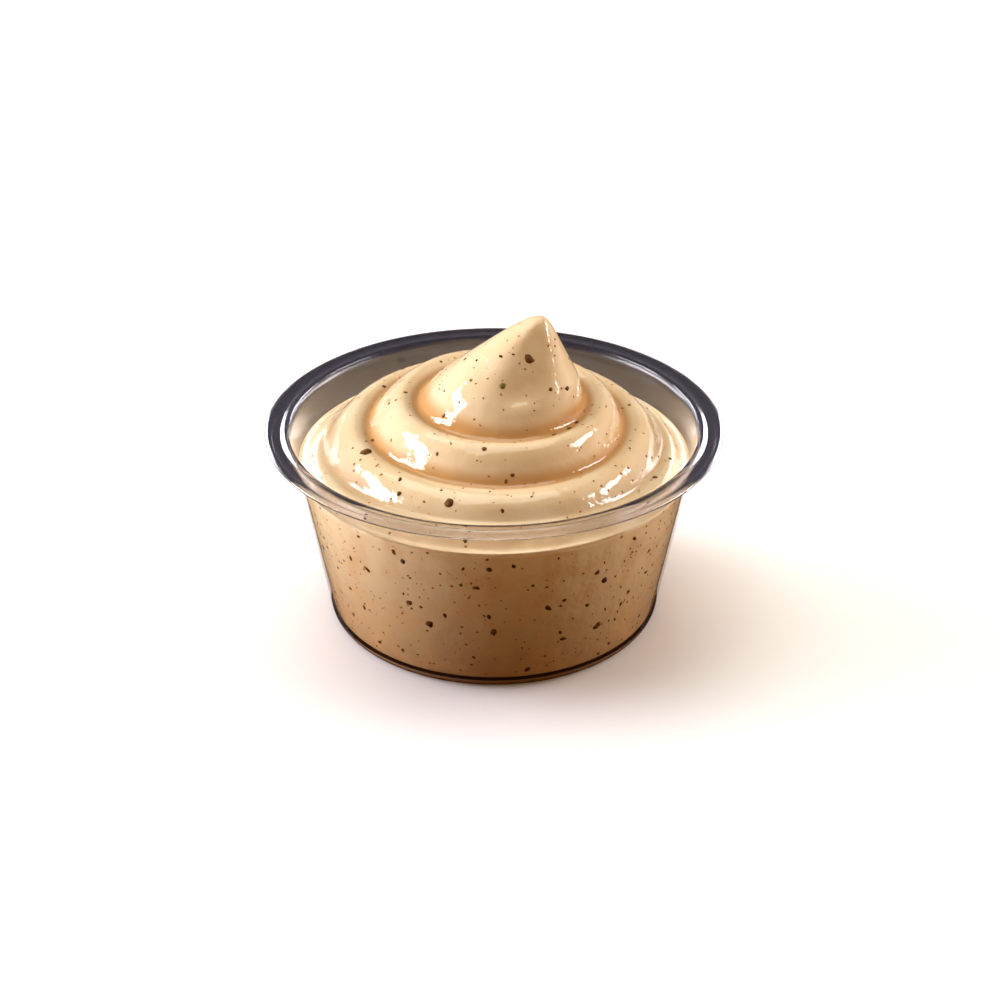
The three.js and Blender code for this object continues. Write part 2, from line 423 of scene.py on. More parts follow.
@dataclass(frozen=True)
class ClearPlasticFinish:
    """Thin clear plastic with a soft gloss; it all but vanishes where the mayonnaise wets it.

    The foot is painted brown and made less clear, a painted stand-in for the mayonnaise and the
    shade seen through the clear plastic. Where the foot ends and where the wetted wall starts and
    ends are shares of whole_height, which is in metres.
    """

    tint: tuple[int, int, int] = (253, 252, 254)
    depth_tint: tuple[int, int, int] = (118, 108, 122)
    depth_density: float = 60.0
    ior: float = 1.14
    gloss_ior: float = 1.55
    gloss_roughness: float = 0.14
    haze: Grain = Grain(420, 4)
    haziest: float = 0.06
    ripple: Grain = Grain(90, 2)
    ripple_depth: float = 0.000005
    whole_height: float = 0.03
    foot_ends: float = 0.042
    wetted_starts: float = 0.0455
    wetted_ends: float = 0.8
    dry_starts: float = 0.815
    wetted_share: float = 0.04
    # The foot shows almost fully and is only a little clear. It is painted brown, a painted stand-in for the
    # mayonnaise and shade seen through it.
    foot_share: float = 0.95
    foot_clearness: float = 0.2
    foot_painted_brown: tuple[int, int, int] = (112, 72, 40)
    foot_top_painted_brown: tuple[int, int, int] = (168, 122, 78)

    def tints(self) -> list[tuple[float, tuple]]:
        """The plastic's colour by height, with the foot painted brown for the mayonnaise and shade seen
        through it.
        """
        return [
            (0.0, linear(*self.foot_painted_brown)),
            (self.foot_ends, linear(*self.foot_top_painted_brown)),
            (self.wetted_starts, linear(*self.tint)),
        ]

    def clearness(self) -> list[tuple[float, tuple]]:
        """How clear the plastic is, by height."""
        return [(self.foot_ends, grey(self.foot_clearness)), (self.wetted_starts, grey(1))]

    def presence(self) -> list[tuple[float, tuple]]:
        """How much of the plastic shows, by height."""
        return [
            (self.foot_ends, grey(self.foot_share)),
            (self.wetted_starts, grey(self.wetted_share)),
            (self.wetted_ends, grey(self.wetted_share)),
            (self.dry_starts, grey(1)),
        ]

    def material(self) -> bpy.types.Material:
        """Make the plastic."""
        shader = Shader("clear_plastic")
        shader.set(
            IOR=self.ior,
            Coat_Weight=1.0,
            Coat_IOR=self.gloss_ior,
            Coat_Roughness=self.gloss_roughness,
        )
        height = shader.height(self.whole_height)
        for stops, socket in (
            (self.tints(), "Base Color"),
            (self.clearness(), "Transmission Weight"),
            (self.presence(), "Alpha"),
        ):
            shader.link(shader.ramp(height, stops), shader.surface.inputs[socket])
        haze = shader.span(shader.noise(self.haze), 0.0, self.haziest)
        shader.link(haze, shader.surface.inputs["Roughness"])
        shader.bumps((shader.noise(self.ripple), self.ripple_depth))
        depth = shader.add("ShaderNodeVolumeAbsorption")
        depth.inputs["Color"].default_value = linear(*self.depth_tint)
        depth.inputs["Density"].default_value = self.depth_density
        shader.link(depth.outputs["Volume"], shader.output.inputs["Volume"])
        return shader.material


@dataclass(frozen=True)
class MayonnaiseFinish:
    """A smooth, glossy emulsion with fine specks, painted shade in its grooves and low on the wall, and
    painted light against the cup.
    """

    pale: tuple[int, int, int] = (218, 196, 160)
    deep: tuple[int, int, int] = (211, 184, 142)
    # Painted shade: a darker, warmer colour laid into the grooves and at the rolls' feet.
    groove: tuple[int, int, int] = (180, 134, 78)
    # Painted light: a lighter colour where the mayonnaise lies against the cup, on the wall and at the
    # swirl's front edge.
    painted_light_at_cup: tuple[int, int, int] = (255, 226, 178)
    # Painted shade: darker and browner towards the floor of the cup.
    painted_low_shade: tuple[int, int, int] = (178, 136, 92)
    wet_mottled: tuple[int, int, int] = (224, 174, 118)
    speck: tuple[int, int, int] = (168, 108, 48)
    tone: Grain = Grain(160, 3)
    tone_from: float = 0.3
    tone_to: float = 0.7
    mottling: Grain = Grain(240, 5)
    mottling_from: float = 0.45
    mottling_to: float = 0.75
    mottling_most: float = 0.55
    coarse_specks: Specks = Specks(650, 0.16, 0.16, 0.45)
    fine_specks: Specks = Specks(1500, 0.2, 0.16, 0.5)
    ior: float = 1.47
    specular_level: float = 0.5
    gloss: Grain = Grain(700, 3)
    smoothest: float = 0.02
    roughest: float = 0.05
    ripple: Grain = Grain(300, 2)
    ripple_depth: float = 0.0002
    pitting: Grain = Grain(1400, 2)
    pitting_depth: float = 0.00003
    see_through: float = 0.08
    reach: tuple[float, float, float] = (1.0, 0.62, 0.34)
    reach_scale: float = 0.001

    def colour(self, shader: Shader) -> bpy.types.NodeSocket:
        """Colour of the emulsion with its specks, with painted shade in its grooves and low on the wall, and
        painted light against the cup.
        """
        cream = shader.ramp(
            shader.noise(self.tone),
            [(self.tone_from, linear(*self.deep)), (self.tone_to, linear(*self.pale))],
        )
        # Painted shade in the grooves, laid on by how hollow each place lies.
        cream = shader.mixed(cream, self.groove, shader.painted("hollow"))
        painted_light_at_cup, low = shader.painted("painted_light_at_cup"), shader.painted("low")
        mottling = shader.ramp(
            shader.noise(self.mottling),
            [(self.mottling_from, grey(0)), (self.mottling_to, grey(self.mottling_most))],
        )
        # Painted light against the cup.
        cream = shader.mixed(cream, self.painted_light_at_cup, painted_light_at_cup)
        # Painted shade towards the floor.
        cream = shader.mixed(cream, self.painted_low_shade, low)
        cream = shader.mixed(cream, self.wet_mottled, shader.math("MULTIPLY", mottling, painted_light_at_cup))
        cream = shader.mixed(cream, self.speck, shader.specks(self.coarse_specks))
        return shader.mixed(cream, self.speck, shader.specks(self.fine_specks))

    def material(self) -> bpy.types.Material:
        """Make the emulsion."""
        shader = Shader("garlic_mayonnaise")
        shader.set(
            Subsurface_Weight=self.see_through,
            Subsurface_Radius=self.reach,
            Subsurface_Scale=self.reach_scale,
            Specular_IOR_Level=self.specular_level,
            IOR=self.ior,
        )
        shader.link(self.colour(shader), shader.surface.inputs["Base Color"])
        gloss = shader.span(shader.noise(self.gloss), self.smoothest, self.roughest)
        shader.link(gloss, shader.surface.inputs["Roughness"])
        shader.bumps(
            (shader.noise(self.ripple), self.ripple_depth),
            (shader.noise(self.pitting), self.pitting_depth),
        )
        return shader.material


class FleckKind(Enum):
    """The kinds of fleck in the mayonnaise."""

    DARK_HERB = "dark_herb"
    GREEN_HERB = "green_herb"
    SPICE = "spice"


@dataclass(frozen=True)
class FleckFinish:
    """A wet, dried herb or spice."""

    kind: FleckKind
    dark: tuple[int, int, int]
    light: tuple[int, int, int]
    tone: Grain = Grain(900, 3)
    dark_until: float = 0.35
    light_from: float = 0.65
    gloss: Grain = Grain(2500, 2)
    smoothest: float = 0.45
    roughest: float = 0.7
    specular_level: float = 0.1
    crumple: Grain = Grain(3000, 2)
    crumple_depth: float = 0.00004

    @property
    def name(self) -> str:
        """Name of the piece and of its material."""
        return f"{self.kind.value}_flecks"

    def material(self) -> bpy.types.Material:
        """Make the fleck's surface."""
        shader = Shader(self.name)
        tone = shader.ramp(
            shader.noise(self.tone),
            [(self.dark_until, linear(*self.dark)), (self.light_from, linear(*self.light))],
        )
        shader.link(tone, shader.surface.inputs["Base Color"])
        gloss = shader.span(shader.noise(self.gloss), self.smoothest, self.roughest)
        shader.link(gloss, shader.surface.inputs["Roughness"])
        shader.set(Specular_IOR_Level=self.specular_level)
        shader.bumps((shader.noise(self.crumple), self.crumple_depth))
        return shader.material


# ---------------------------------------------------------------- cup


@dataclass(frozen=True)
class PortionCup:
    """The thin clear cup: a raised floor on a foot ring, a straight wall and a beaded flange."""

    rim_radius: float = 33.0
    rim_top: float = 29.6
    flange_thickness: float = 0.55
    channel_depth: float = 0.3
    bead_shoulder: float = 0.6
    inner_bead_radius: float = 30.1
    outer_bead_radius: float = 32.3
    lip_round: float = 0.14
    wall_top_radius: float = 29.5
    wall_top: float = 28.2
    step_width: float = 0.12
    step_height: float = 0.5
    foot_radius: float = 24.5
    foot_corner: float = 1.2
    foot_corner_share: float = 0.83
    foot_width: float = 1.6
    floor_lift: float = 0.9
    wall: float = 0.45
    segments: int = 288
    finish: ClearPlasticFinish = field(default_factory=ClearPlasticFinish)

    @property
    def lean(self) -> float:
        """How far the wall leans out, in radians."""
        return math.atan2(self.wall_top_radius - self.foot_radius, self.wall_top)

    @property
    def floor_top(self) -> float:
        """Height of the floor's upper face."""
        return self.floor_lift + self.wall

    def wall_radius(self, height: float) -> float:
        """Radius of the wall's outer face at a height."""
        rise = (self.wall_top_radius - self.foot_radius) / self.wall_top
        return self.foot_radius + rise * height

    def inner_radius(self, height: float) -> float:
        """Radius of the wall's inner face at a height."""
        return self.wall_radius(height) - self.wall / math.cos(self.lean)

    def floor_corner(self, gap: float) -> list[tuple[float, float, float]]:
        """Corner between the floor and the inside of the wall, a gap away, with its rounding."""
        height = self.floor_top + gap
        return [(self.inner_radius(height) - gap, height, self.foot_corner - self.wall)]

    def outline(self) -> list[tuple[float, float, float]]:
        """List the section's corners as radius, height and rounding, from under the floor to its top."""
        under = self.rim_top - self.flange_thickness
        channel = self.rim_top - self.channel_depth
        foot_inside = self.foot_radius - self.foot_corner * self.foot_corner_share - self.foot_width
        shoulder = self.bead_shoulder
        inside = self.inner_radius(self.wall_top)
        return [
            (0, self.floor_lift, 0),
            (foot_inside - self.floor_lift, self.floor_lift, 0.5),
            (foot_inside, 0, 0.25),
            (self.foot_radius, 0, self.foot_corner),
            (self.wall_top_radius, self.wall_top, 0.5),
            (self.wall_top_radius + shoulder / 2, under - self.lip_round, 0.3),
            (self.outer_bead_radius, under, 0.4),
            (self.rim_radius - self.lip_round, under, 0.1),
            (self.rim_radius, under + self.flange_thickness / 2, 0.2),
            (self.rim_radius - self.lip_round, self.rim_top - self.lip_round, 0.1),
            (self.outer_bead_radius, self.rim_top, 0.35),
            (self.outer_bead_radius - shoulder, channel, 0.35),
            (self.inner_bead_radius + shoulder, channel, 0.35),
            (self.inner_bead_radius, self.rim_top, 0.35),
            (self.inner_bead_radius - shoulder, self.rim_top - self.lip_round, 0.2),
            (inside + self.step_width, self.wall_top + self.step_height, 0.15),
            (inside, self.wall_top, 0.2),
            *self.floor_corner(0),
            (0, self.floor_top, 0),
        ]

    def build(self) -> bpy.types.Object:
        """Turn the rounded section around the axis and dress it."""
        section = rounded(self.outline())
        rings = turned(section[1:-1], all_round(self.segments))
        ends = np.array([[0, 0, section[0][1]], [0, 0, section[-1][1]]])
        points = np.vstack([rings.reshape(-1, 3), ends])
        piece = make_piece("clear_cup", points, closed_rings(rings))
        piece.data.materials.append(self.finish.material())
        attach(piece, BODY)
        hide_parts("portion_cup")
        return piece


def rounded(
    corners: list[tuple[float, float, float]], steps: int = 6, most: float = 0.48
) -> np.ndarray:
    """Round the corners of a section.

    Args:
        corners: Radius, height and how much of each side the rounding takes.
        steps: Points along each rounding.
        most: The largest share of a side that a rounding takes.

    Returns:
        The section's points as rows of radius and height.
    """
    places = [np.array(c[:2], dtype=float) for c in corners]
    points = [places[0]]
    for i in range(1, len(corners) - 1):
        here, size = places[i], corners[i][2]
        before, after = places[i - 1] - here, places[i + 1] - here
        cut = min(size, np.hypot(*before) * most, np.hypot(*after) * most)
        start = here + before / np.hypot(*before) * cut
        end = here + after / np.hypot(*after) * cut
        for step in range(steps + 1):
            t = step / steps
            points.append((1 - t) ** 2 * start + 2 * t * (1 - t) * here + t * t * end)
    points.append(places[-1])
    return np.array(points)


# ---------------------------------------------------------------- mayonnaise


@dataclass(frozen=True)
class Swirl:
    """The piped surface: rounded turns that wind in at the back and end in a leaning peak."""

    cup: PortionCup
    fill_level: float = 24.4
    edge_band: float = 3.4
    edge_lip: float = 0.2
    pitch: float = 6.2
    outer_radius: float = 30.95
    steady_winding: float = 0.06
    winding_starts: float = 0.55
    groove_base: float = 23.9
    groove_step: float = 1.7
    groove_growth: float = 0.4
    groove_rounding: float = 0.95
    groove_samples: int = 7
    crest_at: float = 0.66
    crest_overshoot: float = 0.2
    face_width: float = 0.42
    roll_fullness: float = 0.85
    back_swell: float = 1.2
    back_swell_angle: float = math.radians(112)
    back_swell_focus: float = 4.0
    back_swell_from: tuple[float, float] = (10, 15)
    back_swell_to: tuple[float, float] = (21, 27)
    front_swell: float = 0.8
    front_swell_angle: float = math.radians(-88)
    front_swell_focus: float = 3.0
    front_swell_from: tuple[float, float] = (20.5, 24)
    # How the mask for the painted groove shade is read from the swirl's shape.
    hollow_depth: float = 1.5
    hollow_reach: tuple[float, ...] = (1.4, -1.4, 2.6, -2.6)
    hollow_fades: tuple[float, float] = (4, 1.5)
    radius_wavers: Wavers = ((-0.014, 1, 0), (0.012, 2, 1.1), (0.007, 3, 2.4))
    height_wavers: Wavers = ((0.16, 1, 0.7), (0.12, 2, -0.9))
    peak_top: float = 46.0
    peak_lean: float = 6.4
    peak_lean_power: float = 1.74
    peak_slope: float = 1.15
    peak_tip_radius: float = 1.8
    peak_first_turn: int = 3
    fold_angle: float = math.radians(-84)
    fold_depth: float = 0.16
    fold_focus: float = 9.0
    fold_from: tuple[float, float] = (0.8, 3)
    fold_to: tuple[float, float] = (7, 11)

    def wind_in(self, angle: np.ndarray) -> np.ndarray:
        """How far the swirl has wound in, from 0 on the left, round the front, to 1 at the left again."""
        share = np.mod((angle - math.pi) / (2 * math.pi), 1.0)
        return blend(
            smoothstep(self.winding_starts, 1, share), share, self.steady_winding
        )

    def groove_height(self, turn: np.ndarray) -> np.ndarray:
        """Height of the groove between two turns, counted inwards from the wall."""
        return self.groove_base + self.groove_step * turn + self.groove_growth * turn**2

    def swell(self, radius: np.ndarray, angle: np.ndarray) -> np.ndarray:
        """How much the swirl swells at a place, with fuller parts at the back left and the front."""
        back = near(angle, self.back_swell_angle, self.back_swell_focus)
        inner = smoothstep(*self.back_swell_from, radius)
        inner = inner * (1 - smoothstep(*self.back_swell_to, radius))
        outer = smoothstep(*self.front_swell_from, radius)
        swelling = self.back_swell * back * inner + self.front_swell * self.front(angle) * outer
        return waves(self.height_wavers, angle) + swelling

    def front(self, angle: np.ndarray) -> np.ndarray:
        """How near a place lies to the front, from 0 to 1."""
        return near(angle, self.front_swell_angle, self.front_swell_focus)

    def peak_height(self, radius: np.ndarray, angle: np.ndarray) -> np.ndarray:
        """Height of the peak's smooth cone, with a soft fold down its front."""
        ahead = near(angle, self.fold_angle, self.fold_focus)
        band = smoothstep(*self.fold_from, radius) * (1 - smoothstep(*self.fold_to, radius))
        reach = np.hypot(
            radius * (1 + self.fold_depth * ahead * band), self.peak_tip_radius
        )
        return self.peak_top - self.peak_slope * (reach - self.peak_tip_radius)

    def rounded_face(self, share: np.ndarray) -> np.ndarray:
        """A roll's rounded face, from 0 at its groove to 1."""
        return np.sin(math.pi / 2 * np.clip(share, 0, 1)) ** self.roll_fullness

    def turn_rise(self, across: np.ndarray) -> np.ndarray:
        """Share of a turn's rise at a share of its width."""
        crest, over = self.crest_at, self.crest_overshoot
        return np.where(
            across < crest,
            (1 + over) * self.rounded_face(across / crest),
            1 + over * (1 - smoothstep(crest, 1, across)),
        )

    def sharp_height(self, radius: np.ndarray, angle: np.ndarray) -> np.ndarray:
        """The swirl's height while its grooves are still sharp."""
        wound = self.wind_in(angle)
        wavy = radius * (1 + waves(self.radius_wavers, angle))
        along = (self.outer_radius - wavy) / self.pitch - wound
        turn = np.minimum(self.peak_first_turn, np.floor(along))
        across = along - turn
        swell = self.swell(radius, angle)
        outer = self.groove_height(turn + wound) + swell
        inner = self.groove_height(turn + 1 + wound) + swell
        peak = self.peak_height(radius, angle)
        ring = blend(outer, inner, self.turn_rise(np.minimum(1, across)))
        face = blend(outer, peak, self.rounded_face(across / self.face_width))
        fade = smoothstep(0, 1, wound)
        return np.select(
            [turn == self.peak_first_turn, turn == self.peak_first_turn - 1],
            [blend(face, peak, fade), blend(ring, face, fade)],
            ring,
        )

    def height(self, radius: np.ndarray, angle: np.ndarray) -> np.ndarray:
        """The swirl's height, with rounded grooves, brought down to the fill level at the wall."""
        samples = self.groove_samples
        total, weights = 0.0, 0.0
        for i in range(-samples, samples + 1):
            weight = 1 - abs(i) / (samples + 1)
            beside = np.abs(radius + self.groove_rounding * i / samples)
            total = total + weight * self.sharp_height(beside, angle)
            weights += weight
        wall = self.cup.inner_radius(self.fill_level)
        drop = smoothstep(wall - self.edge_band, wall - self.edge_lip, radius)
        return blend(total / weights, self.fill_level, drop)

    # This is the mask of the painted shade in the grooves.
    def hollow(self, radius: np.ndarray, angle: np.ndarray) -> np.ndarray:
        """How deep a place lies in a groove or at a roll's foot, from 0 to 1."""
        edge = self.cup.inner_radius(self.fill_level)
        around = [
            self.height(np.clip(np.abs(radius + reach), 0, edge), angle)
            for reach in self.hollow_reach
        ]
        depth = sum(around) / len(around) - self.height(radius, angle)
        at_wall = smoothstep(*(edge - inwards for inwards in self.hollow_fades), radius)
        return smoothstep(0, self.hollow_depth, depth) * (1 - at_wall)

    def lean(self, height: np.ndarray) -> np.ndarray:
        """How far the swirl leans towards +X at a height."""
        share = (height - self.fill_level) / (self.peak_top - self.fill_level)
        return self.peak_lean * np.clip(share, 0, 1) ** self.peak_lean_power

    def point(self, radius: np.ndarray, angle: np.ndarray) -> np.ndarray:
        """Points on the swirl's surface, as x, y and z along the last axis."""
        height = self.height(radius, angle)
        return np.stack(
            [
                radius * np.cos(angle) + self.lean(height),
                radius * np.sin(angle),
                height,
            ],
            axis=-1,
        )

    def normal(
        self, radius: np.ndarray, angle: np.ndarray, step: float = 0.15, innermost: float = 0.3
    ) -> np.ndarray:
        """Which way the surface faces.

        Args:
            radius: Radii of the places.
            angle: Their directions.
            step: How far off its neighbours are read.
            innermost: The smallest radius that a step around is worked out from.

        Returns:
            Unit vectors.
        """
        here = self.point(radius, angle)
        outwards = self.point(radius + step, angle) - here
        around = self.point(radius, angle + step / np.maximum(radius, innermost)) - here
        across = np.cross(outwards, around)
        return across / np.linalg.norm(across, axis=-1, keepdims=True)


@dataclass(frozen=True)
class Filling:
    """The mayonnaise itself, from the floor of the cup up to the tip of the peak."""

    swirl: Swirl
    columns: int = 400
    rows: int = 180
    side_rows: int = 24
    sink: float = 0.07
    edge_inset: float = 0.02
    # Where the painted light on the swirl starts and where it is full, in millimetres in from the cup.
    near_cup_band: tuple[float, float] = (4, 1)
    slope_samples: int = 700
    finish: MayonnaiseFinish = field(default_factory=MayonnaiseFinish)

    def even_radii(self, angle: float, edge: float) -> np.ndarray:
        """Radii on one line from the wall to the peak, evenly spaced along the slope.

        Args:
            angle: The line's direction.
            edge: Radius at the wall.

        Returns:
            The radii, largest first.
        """
        radii = np.linspace(edge, 0, self.slope_samples)
        heights = self.swirl.height(radii, np.full_like(radii, angle))
        lengths = np.concatenate(
            [[0], np.cumsum(np.hypot(np.diff(radii), np.diff(heights)))]
        )
        wanted = np.linspace(0, lengths[-1], self.rows, endpoint=False)
        return np.interp(wanted, lengths, radii)

    def side(self) -> np.ndarray:
        """The section against the cup, just inside its wall, as rows of radius and height."""
        cup = self.swirl.cup
        level = self.swirl.fill_level
        corner = cup.floor_corner(-self.sink)[0]
        top = (cup.inner_radius(level) + self.sink, level, 0)
        section = rounded([(0, corner[1], 0), corner, top])[1:]
        wall = np.linspace(section[-2], section[-1], self.side_rows)[1:]
        return np.vstack([section[:-1], wall])

    def paint_all(
        self, piece: bpy.types.Object, wall: np.ndarray, radii: np.ndarray, angle: np.ndarray
    ) -> None:
        """Keep for each point the masks of its painted shade and light: how hollow it lies, how near it lies
        to the cup and how low it is.

        Args:
            piece: The filling.
            wall: Its points against the cup, by row, direction and axis.
            radii: Radii of its points on the swirl, by row and direction.
            angle: The directions.
        """
        swirl = self.swirl
        edge = radii[0, 0]
        on_wall, on_swirl = np.zeros(wall.shape[:2]), np.zeros(radii.shape)
        near_cup = smoothstep(*(edge - inwards for inwards in self.near_cup_band), radii)
        lowness = 1 - wall[..., 2] / swirl.fill_level
        for name, side, top, at_floor in (
            # Mask of the painted shade in the grooves.
            ("hollow", on_wall, swirl.hollow(radii, angle), 0),
            # Mask of the painted light: all of the wall, and the swirl's front near the cup.
            ("painted_light_at_cup", on_wall + 1, near_cup * swirl.front(angle), 1),
            # Mask of the painted shade towards the floor.
            ("low", lowness, on_swirl, 1),
        ):
            paint(piece, name, np.append(np.vstack([side, top]), [at_floor, 0]))

    def build(self) -> bpy.types.Object:
        """Make the filling as one closed mesh and dress it."""
        swirl = self.swirl
        angle = all_round(self.columns)
        side = self.side()
        wall = turned(side, angle)
        edge = swirl.cup.inner_radius(swirl.fill_level) - self.edge_inset
        radii = np.stack([self.even_radii(a, edge) for a in angle], axis=1)
        top = swirl.point(radii, np.broadcast_to(angle, radii.shape))
        rings = np.concatenate([wall, top])
        tip = swirl.point(np.array([0.0]), np.array([0.0]))[0]
        ends = np.array([[0, 0, side[0][1]], tip])
        points = np.vstack([rings.reshape(-1, 3), ends])
        piece = make_piece("mayonnaise", points, closed_rings(rings))
        self.paint_all(piece, wall, radii, angle)
        piece.data.materials.append(self.finish.material())
        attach(piece, BODY)
        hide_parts("garlic_mayonnaise")
        return piece


@dataclass(frozen=True)
class Flecks:
    """All flecks of one kind, on the swirl and along the wall.

    Chosen flecks on the swirl are given by radius, degrees and length, and those along the wall by
    height, degrees and length. The others lie at random.
    """

    swirl: Swirl
    finish: FleckFinish
    on_swirl: int
    on_wall: int
    smallest: float
    largest: float
    seed: int
    chosen_on_swirl: tuple[tuple[float, float, float], ...] = ()
    chosen_on_wall: tuple[tuple[float, float, float], ...] = ()
    mostly_small: float = 1.7
    narrowest: float = 0.5
    widest: float = 1.0
    thickness: float = 0.12
    thickness_share: float = 0.3
    corners: int = 9
    uneven: tuple[float, float] = (0.72, 1.12)
    most_bent: float = 0.35
    top_share: float = 0.94
    edge_lift: float = 0.5
    wall_sink: float = 0.07
    edge_margin: float = 0.5
    floor_margin: float = 0.8
    level_margin: float = 0.3

    def flake(
        self, place: np.ndarray, facing: np.ndarray, length: float, draw: np.random.Generator
    ) -> np.ndarray:
        """One uneven flake that lies half sunk in the surface.

        Args:
            place: Where it lies.
            facing: Which way the surface faces there.
            length: How long it is.
            draw: The seeded draws.

        Returns:
            Its points: the rim below, the rim above, then the two middles.
        """
        width = length * draw.uniform(self.narrowest, self.widest)
        turn = draw.uniform(0, 2 * math.pi)
        normal = Vector(facing)
        along = normal.orthogonal().normalized()
        across = normal.cross(along)
        one = np.array(along * math.cos(turn) + across * math.sin(turn))
        other = np.cross(np.array(normal), one)
        angle = all_round(self.corners)
        uneven = draw.uniform(*self.uneven, self.corners)
        bend = draw.uniform(-self.most_bent, self.most_bent) * np.cos(angle) ** 2 * length / 2
        flat = np.outer(np.cos(angle) * uneven * length / 2, one) + np.outer(
            np.sin(angle) * uneven * width / 2 + bend, other
        )
        half = np.array(normal) * min(self.thickness, length * self.thickness_share) / 2
        middle = flat.mean(axis=0)
        return np.vstack(
            [
                place + flat - half,
                place + flat * self.top_share + half * self.edge_lift,
                [place + middle - half, place + middle + half],
            ]
        )

    def size(self, draw: np.random.Generator) -> float:
        """Draw a length; most are small."""
        return self.smallest + (self.largest - self.smallest) * draw.random() ** self.mostly_small

    def on_wall_at(self, height: float, around: float) -> tuple[np.ndarray, np.ndarray]:
        """Where a fleck against the wall lies and which way it faces."""
        cup = self.swirl.cup
        out = np.array([math.cos(around), math.sin(around), -math.tan(cup.lean)])
        at = cup.inner_radius(height) + self.wall_sink
        place = np.array([at * math.cos(around), at * math.sin(around), height])
        return place, out / np.linalg.norm(out)

    def places(self, draw: np.random.Generator) -> list[tuple[np.ndarray, np.ndarray, float]]:
        """Where the flecks lie, which way the surface faces there and how long they are."""
        swirl, cup = self.swirl, self.swirl.cup
        reach = cup.inner_radius(swirl.fill_level) - self.edge_margin
        radius = reach * np.sqrt(draw.uniform(0.001, 1, self.on_swirl))
        angle = draw.uniform(0, 2 * math.pi, self.on_swirl)
        found = [
            (place, facing, self.size(draw))
            for place, facing in zip(swirl.point(radius, angle), swirl.normal(radius, angle))
        ]
        for _ in range(self.on_wall):
            height = draw.uniform(
                cup.floor_top + self.floor_margin, swirl.fill_level - self.level_margin
            )
            found.append((*self.on_wall_at(height, draw.uniform(0, 2 * math.pi)), self.size(draw)))
        for radius, degrees, length in self.chosen_on_swirl:
            at = np.array([radius]), np.array([math.radians(degrees)])
            found.append((swirl.point(*at)[0], swirl.normal(*at)[0], length))
        for height, degrees, length in self.chosen_on_wall:
            found.append((*self.on_wall_at(height, math.radians(degrees)), length))
        return found

    def build(self) -> bpy.types.Object:
        """Join all the flakes into one piece and dress it."""
        draw = np.random.default_rng(self.seed)
        points, faces = [], []
        n = self.corners
        for place, facing, length in self.places(draw):
            start = len(points) * (2 * n + 2)
            points.append(self.flake(place, facing, length, draw))
            under, over = start + 2 * n, start + 2 * n + 1
            for i in range(n):
                j = (i + 1) % n
                faces.append((start + i, start + j, start + n + j, start + n + i))
                faces.append((under, start + j, start + i))
                faces.append((over, start + n + i, start + n + j))
        piece = make_piece(self.finish.name, np.vstack(points), faces)
        piece.data.materials.append(self.finish.material())
        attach(piece, BODY)
        return piece


# ---------------------------------------------------------------- studio


class Reach(Enum):
    """What a light falls on."""

    EVERYTHING = "everything"
    CLEAR_CUP = "lit_cup"
    FOOD_AND_FLOOR = "lit_food_and_floor"


@dataclass(frozen=True)
class Softbox:
    """One soft light that faces the cup; some only shine in the gloss, and light nothing."""

    name: str
    place: tuple[float, float, float]
    size: tuple[float, float]
    power: float
    colour: tuple[float, float, float]
    lights: bool = True
    reach: Reach = Reach.EVERYTHING

    def build(self, aim: Vector, lit: dict[Reach, bpy.types.Collection]) -> None:
        """Hang the light so that it faces a point.

        Args:
            aim: The point.
            lit: The objects that each narrower reach takes in.
        """
        data = bpy.data.lights.new(self.name, "AREA")
        data.shape = "RECTANGLE"
        data.size, data.size_y = self.size
        data.energy = self.power
        data.color = self.colour
        lamp = bpy.data.objects.new(self.name, data)
        lamp.location = self.place
        lamp.rotation_euler = (aim - Vector(self.place)).to_track_quat("-Z", "Y").to_euler()
        lamp.visible_diffuse = self.lights
        if self.reach in lit:
            lamp.light_linking.receiver_collection = lit[self.reach]
        bpy.context.scene.collection.objects.link(lamp)


@dataclass(frozen=True)
class Glow:
    """A soft glow of the room's walls around one direction."""

    towards: tuple[float, float, float]
    focus: float
    colour: tuple[float, float, float]

    def added(
        self, room: Nodes, place: bpy.types.NodeSocket, under: bpy.types.NodeSocket
    ) -> bpy.types.NodeSocket:
        """Add the glow to the room's light.

        Args:
            room: The room's nodes.
            place: The direction that is looked in.
            under: The light so far.

        Returns:
            The light with this glow.
        """
        facing = room.add("ShaderNodeVectorMath", operation="DOT_PRODUCT")
        facing.inputs[1].default_value = Vector(self.towards).normalized()
        room.link(place, facing.inputs[0])
        ahead = room.math("MAXIMUM", facing.outputs["Value"], 0.0)
        strength = room.math("POWER", ahead, self.focus)
        return room.laid(under, (*self.colour, 1), strength, "ADD")


